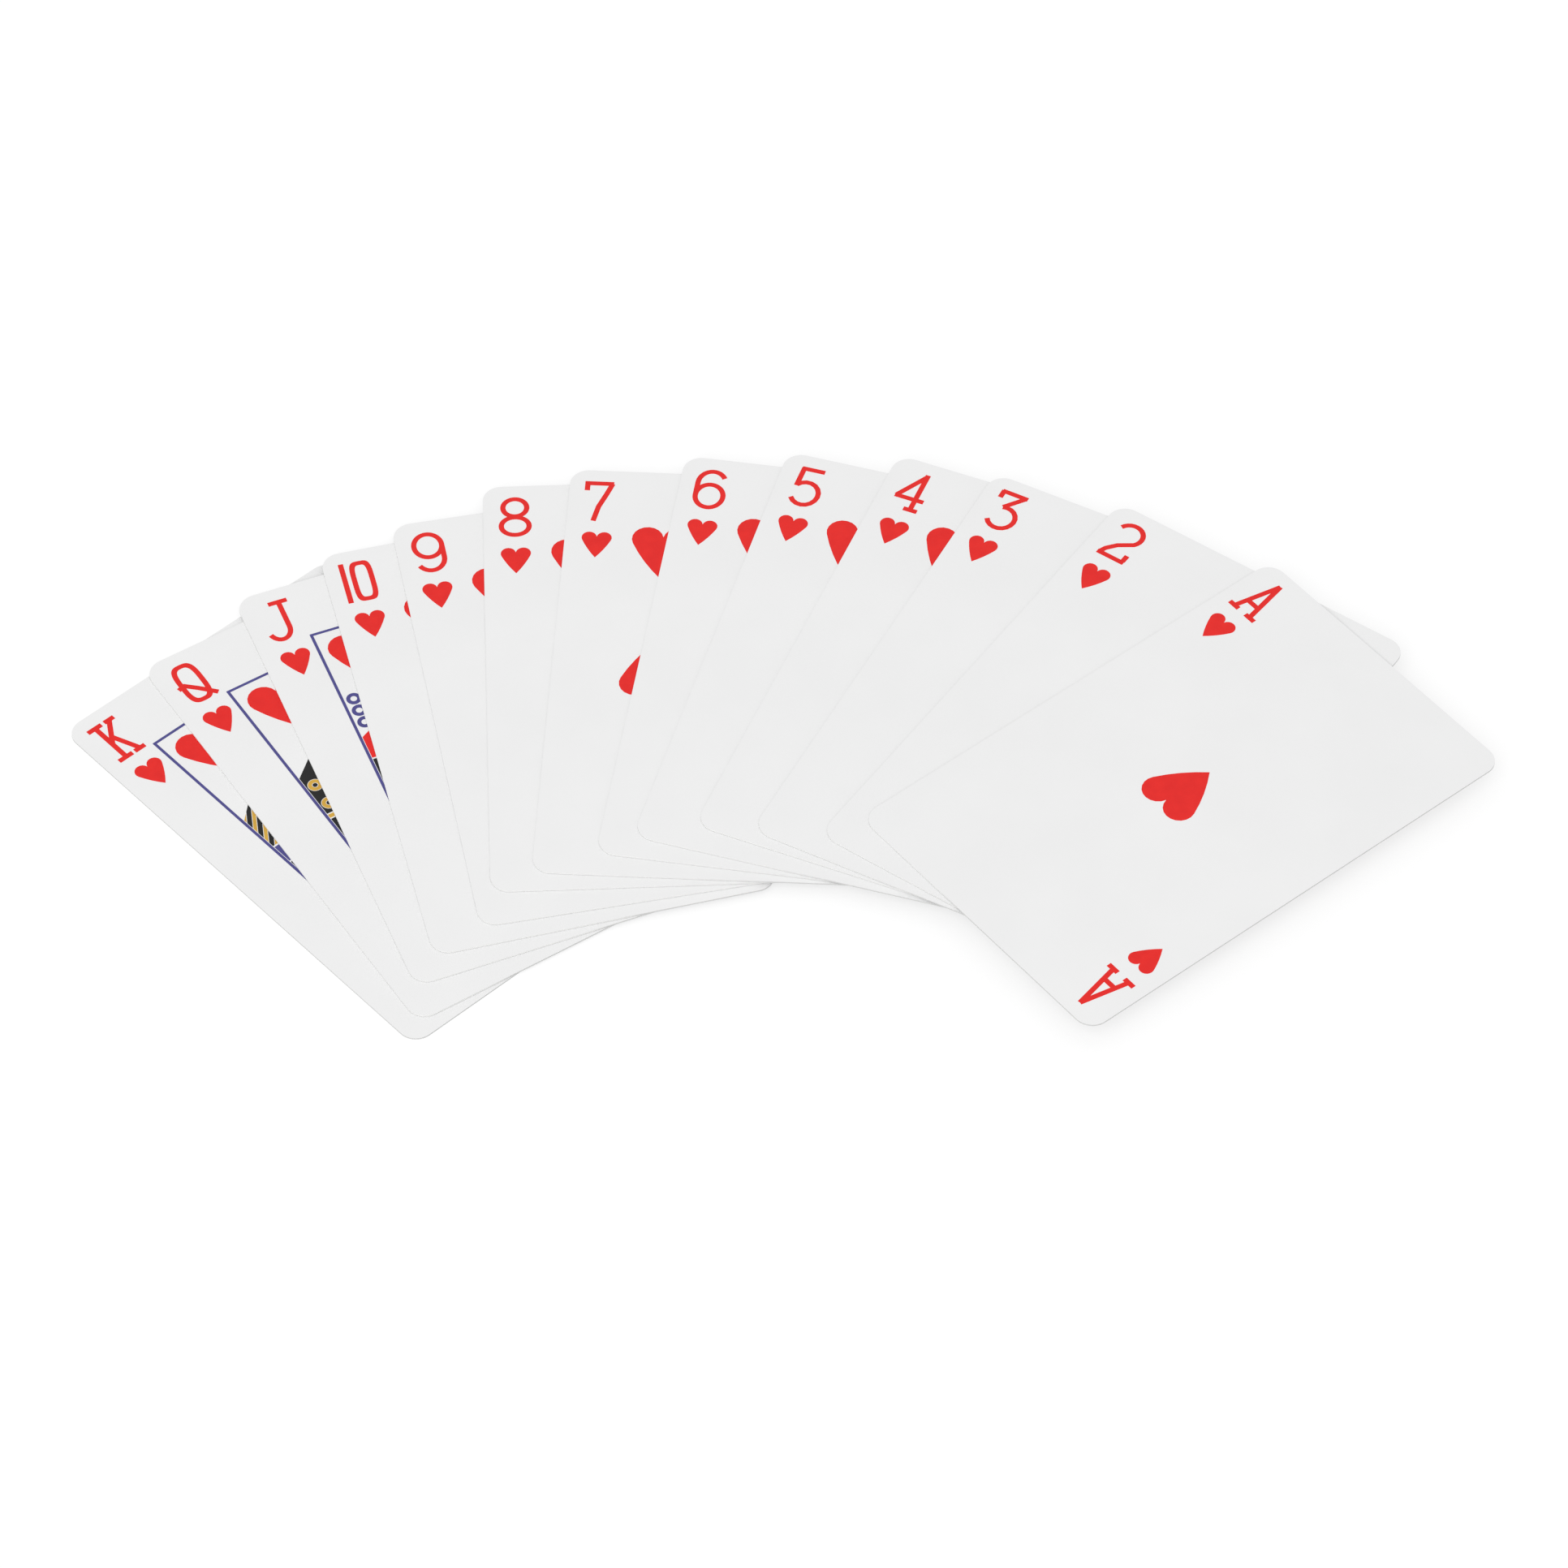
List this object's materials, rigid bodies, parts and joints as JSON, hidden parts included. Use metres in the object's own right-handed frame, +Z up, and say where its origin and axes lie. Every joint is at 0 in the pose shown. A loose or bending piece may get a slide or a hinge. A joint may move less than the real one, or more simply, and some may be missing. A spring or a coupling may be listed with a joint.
{
  "type": "playing card deck",
  "caption": "Suit of playing cards spread face up in an arc, each a thin round-cornered sheet that swings in its own layer until the cards square up into a pack.",
  "frame": {"origin": "middle of the spread's outline, on the table that the king lies on", "axes": "+X along the spread from the king to the ace, +Y towards the cards' index ends, +Z up, faces up"},
  "size_m": [0.2336, 0.1248, 0.0046],
  "materials": {
    "card_stock": "coated card, satin, finely embossed",
    "red_ink": "satin print",
    "blue_ink": "satin print",
    "gold_ink": "satin print",
    "black_ink": "satin print"
  },
  "bodies": {
    "king": {"king_card": "card_stock", "king_red_print": "red_ink", "king_blue_print": "blue_ink", "king_gold_print": "gold_ink", "king_black_print": "black_ink"},
    "queen": {"queen_card": "card_stock", "queen_red_print": "red_ink", "queen_blue_print": "blue_ink", "queen_gold_print": "gold_ink", "queen_black_print": "black_ink"},
    "jack": {"jack_card": "card_stock", "jack_red_print": "red_ink", "jack_blue_print": "blue_ink", "jack_gold_print": "gold_ink", "jack_black_print": "black_ink"},
    "ten": {"ten_card": "card_stock", "ten_red_print": "red_ink"},
    "nine": {"nine_card": "card_stock", "nine_red_print": "red_ink"},
    "eight": {"eight_card": "card_stock", "eight_red_print": "red_ink"},
    "seven": {"seven_card": "card_stock", "seven_red_print": "red_ink"},
    "six": {"six_card": "card_stock", "six_red_print": "red_ink"},
    "five": {"five_card": "card_stock", "five_red_print": "red_ink"},
    "four": {"four_card": "card_stock", "four_red_print": "red_ink"},
    "three": {"three_card": "card_stock", "three_red_print": "red_ink"},
    "two": {"two_card": "card_stock", "two_red_print": "red_ink"},
    "ace": {"ace_card": "card_stock", "ace_red_print": "red_ink"}
  },
  "joints": [
    {"name": "queen_swing", "type": "hinge", "parent": "king", "child": "queen", "pos_m": [-0.03106, -0.06392, 0], "axis": [0, 0, 1], "range_deg": [-1.43, 9.5]},
    {"name": "jack_swing", "type": "hinge", "parent": "king", "child": "jack", "pos_m": [-0.02634, -0.0569, 0], "axis": [0, 0, 1], "range_deg": [-3.08, 20.5]},
    {"name": "ten_swing", "type": "hinge", "parent": "king", "child": "ten", "pos_m": [-0.02177, -0.05951, 0], "axis": [0, 0, 1], "range_deg": [-4.2, 28]},
    {"name": "nine_swing", "type": "hinge", "parent": "king", "child": "nine", "pos_m": [-0.01152, -0.06933, 0], "axis": [0, 0, 1], "range_deg": [-4.65, 31]},
    {"name": "eight_swing", "type": "hinge", "parent": "king", "child": "eight", "pos_m": [-0.01111, -0.06353, 0], "axis": [0, 0, 1], "range_deg": [-6, 40]},
    {"name": "seven_swing", "type": "hinge", "parent": "king", "child": "seven", "pos_m": [-0.00873, -0.06732, 0], "axis": [0, 0, 1], "range_deg": [-6.83, 45.5]},
    {"name": "six_swing", "type": "hinge", "parent": "king", "child": "six", "pos_m": [-0.00481, -0.07345, 0], "axis": [0, 0, 1], "range_deg": [-7.71, 51.4]},
    {"name": "five_swing", "type": "hinge", "parent": "king", "child": "five", "pos_m": [-0.00479, -0.07272, 0], "axis": [0, 0, 1], "range_deg": [-8.85, 59]},
    {"name": "four_swing", "type": "hinge", "parent": "king", "child": "four", "pos_m": [-0.00223, -0.07619, 0], "axis": [0, 0, 1], "range_deg": [-9.75, 65]},
    {"name": "three_swing", "type": "hinge", "parent": "king", "child": "three", "pos_m": [-0.00161, -0.0804, 0], "axis": [0, 0, 1], "range_deg": [-10.5, 70]},
    {"name": "two_swing", "type": "hinge", "parent": "king", "child": "two", "pos_m": [-0.00065, -0.08295, 0], "axis": [0, 0, 1], "range_deg": [-11.62, 77.5]},
    {"name": "ace_swing", "type": "hinge", "parent": "king", "child": "ace", "pos_m": [-0.00195, -0.07465, 0], "axis": [0, 0, 1], "range_deg": [-14.03, 93.5]}
  ]
}
